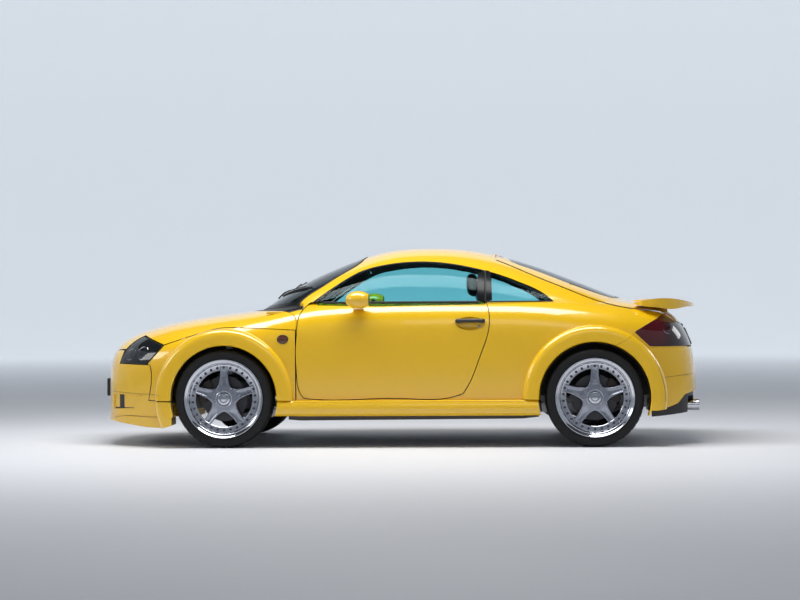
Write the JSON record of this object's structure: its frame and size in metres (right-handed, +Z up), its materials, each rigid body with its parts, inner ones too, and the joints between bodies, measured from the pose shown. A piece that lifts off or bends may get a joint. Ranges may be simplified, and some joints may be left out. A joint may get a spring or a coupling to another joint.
{
  "type": "coupe car",
  "caption": "Low two-door coupe with a domed roof, round flared wheel arches, deck wing, opening doors, bonnet, tailgate and fuel flap, steered front wheels.",
  "frame": {"origin": "centre of the bounding box at ground level", "axes": "the front of the car points towards -X, its left side towards -Y, +Z is up"},
  "size_m": [4.0059, 1.883, 1.3182],
  "materials": {
    "body_paint": "glossy",
    "underbody": "satin",
    "black_plastic": "textured",
    "clear_glass": "clear",
    "lamp_lens": "clear",
    "tail_lens": "clear",
    "cast_metal": "cast",
    "steel": "machined",
    "interior_plastic": "grained",
    "seat_leather": "smooth",
    "alloy": "polished",
    "tyre_rubber": "moulded"
  },
  "bodies": {
    "chassis": {"body_shell": "body_paint", "dashboard": "interior_plastic", "engine": "cast_metal", "exhaust": "steel", "fender_left": "body_paint", "fender_right": "body_paint", "floor_pan": "underbody", "front_bumper": "body_paint", "front_frame": "underbody", "front_grille": "black_plastic", "front_suspension": "steel", "headlight_left": "lamp_lens", "headlight_right": "lamp_lens", "quarter_window_left": "clear_glass", "quarter_window_right": "clear_glass", "rear_apron": "black_plastic", "rear_bumper": "body_paint", "rear_seats": "seat_leather", "rear_suspension": "steel", "scuttle_panel": "black_plastic", "seat_left": "seat_leather", "seat_right": "seat_leather", "side_skirt_left": "body_paint", "side_skirt_right": "body_paint", "tail_lamp_left": "tail_lens", "tail_lamp_right": "tail_lens", "windscreen": "clear_glass"},
    "knuckle_front_left": {"knuckle_left": "steel"},
    "knuckle_front_right": {"knuckle_right": "steel"},
    "wheel_front_left": {"rim_front_left": "alloy", "tyre_front_left": "tyre_rubber"},
    "wheel_front_right": {"rim_front_right": "alloy", "tyre_front_right": "tyre_rubber"},
    "wheel_rear_left": {"rim_rear_left": "alloy", "tyre_rear_left": "tyre_rubber"},
    "wheel_rear_right": {"rim_rear_right": "alloy", "tyre_rear_right": "tyre_rubber"},
    "driver_door": {"door_left": "body_paint", "door_window_left": "clear_glass", "mirror_left": "body_paint"},
    "passenger_door": {"door_right": "body_paint", "door_window_right": "clear_glass", "mirror_right": "body_paint"},
    "bonnet": {"hood": "body_paint"},
    "boot_lid": {"tailgate": "body_paint", "rear_window": "clear_glass", "wing": "body_paint"},
    "flap": {"fuel_flap": "body_paint"},
    "helm": {"steering_wheel": "interior_plastic"}
  },
  "joints": [
    {"name": "steer_left", "type": "hinge", "parent": "chassis", "child": "knuckle_front_left", "pos_m": [-1.135, -0.745, 0.322], "axis": [0, 0, 1], "range_deg": [-30, 30]},
    {"name": "steer_right", "type": "hinge", "parent": "chassis", "child": "knuckle_front_right", "pos_m": [-1.135, 0.745, 0.322], "axis": [0, 0, 1], "range_deg": [-30, 30]},
    {"name": "steering_wheel_turn", "type": "hinge", "parent": "chassis", "child": "helm", "pos_m": [-0.10565, -0.366, 0.792], "axis": [0.9135, 0, 0.4067], "range_deg": [-420, 420]},
    {"name": "wheel_front_left_spin", "type": "hinge", "parent": "knuckle_front_left", "child": "wheel_front_left", "pos_m": [-1.135, -0.757, 0.322], "axis": [0, 1, 0], "continuous": true},
    {"name": "wheel_front_right_spin", "type": "hinge", "parent": "knuckle_front_right", "child": "wheel_front_right", "pos_m": [-1.135, 0.757, 0.322], "axis": [0, 1, 0], "continuous": true},
    {"name": "wheel_rear_left_spin", "type": "hinge", "parent": "chassis", "child": "wheel_rear_left", "pos_m": [1.287, -0.757, 0.322], "axis": [0, 1, 0], "continuous": true},
    {"name": "wheel_rear_right_spin", "type": "hinge", "parent": "chassis", "child": "wheel_rear_right", "pos_m": [1.287, 0.757, 0.322], "axis": [0, 1, 0], "continuous": true},
    {"name": "door_left_hinge", "type": "hinge", "parent": "chassis", "child": "driver_door", "pos_m": [-0.59005, -0.832, 0.6], "axis": [0, 0, -1], "range_deg": [0, 62]},
    {"name": "door_right_hinge", "type": "hinge", "parent": "chassis", "child": "passenger_door", "pos_m": [-0.59005, 0.832, 0.6], "axis": [0, 0, 1], "range_deg": [0, 62]},
    {"name": "hood_hinge", "type": "hinge", "parent": "chassis", "child": "bonnet", "pos_m": [-0.64503, 0, 0.88004], "axis": [0, 1, 0], "range_deg": [0, 55]},
    {"name": "tailgate_hinge", "type": "hinge", "parent": "chassis", "child": "boot_lid", "pos_m": [0.64798, 0, 1.26932], "axis": [0, -1, 0], "range_deg": [0, 70]},
    {"name": "fuel_flap_hinge", "type": "hinge", "parent": "chassis", "child": "flap", "pos_m": [0.98191, 0.81822, 0.8448], "axis": [0, -0.3856, 0.9227], "range_deg": [0, 90]}
  ],
  "couplings": [
    {"joint": "steer_right", "follows": "steer_left", "ratio": 1},
    {"joint": "steering_wheel_turn", "follows": "steer_left", "ratio": 14}
  ]
}
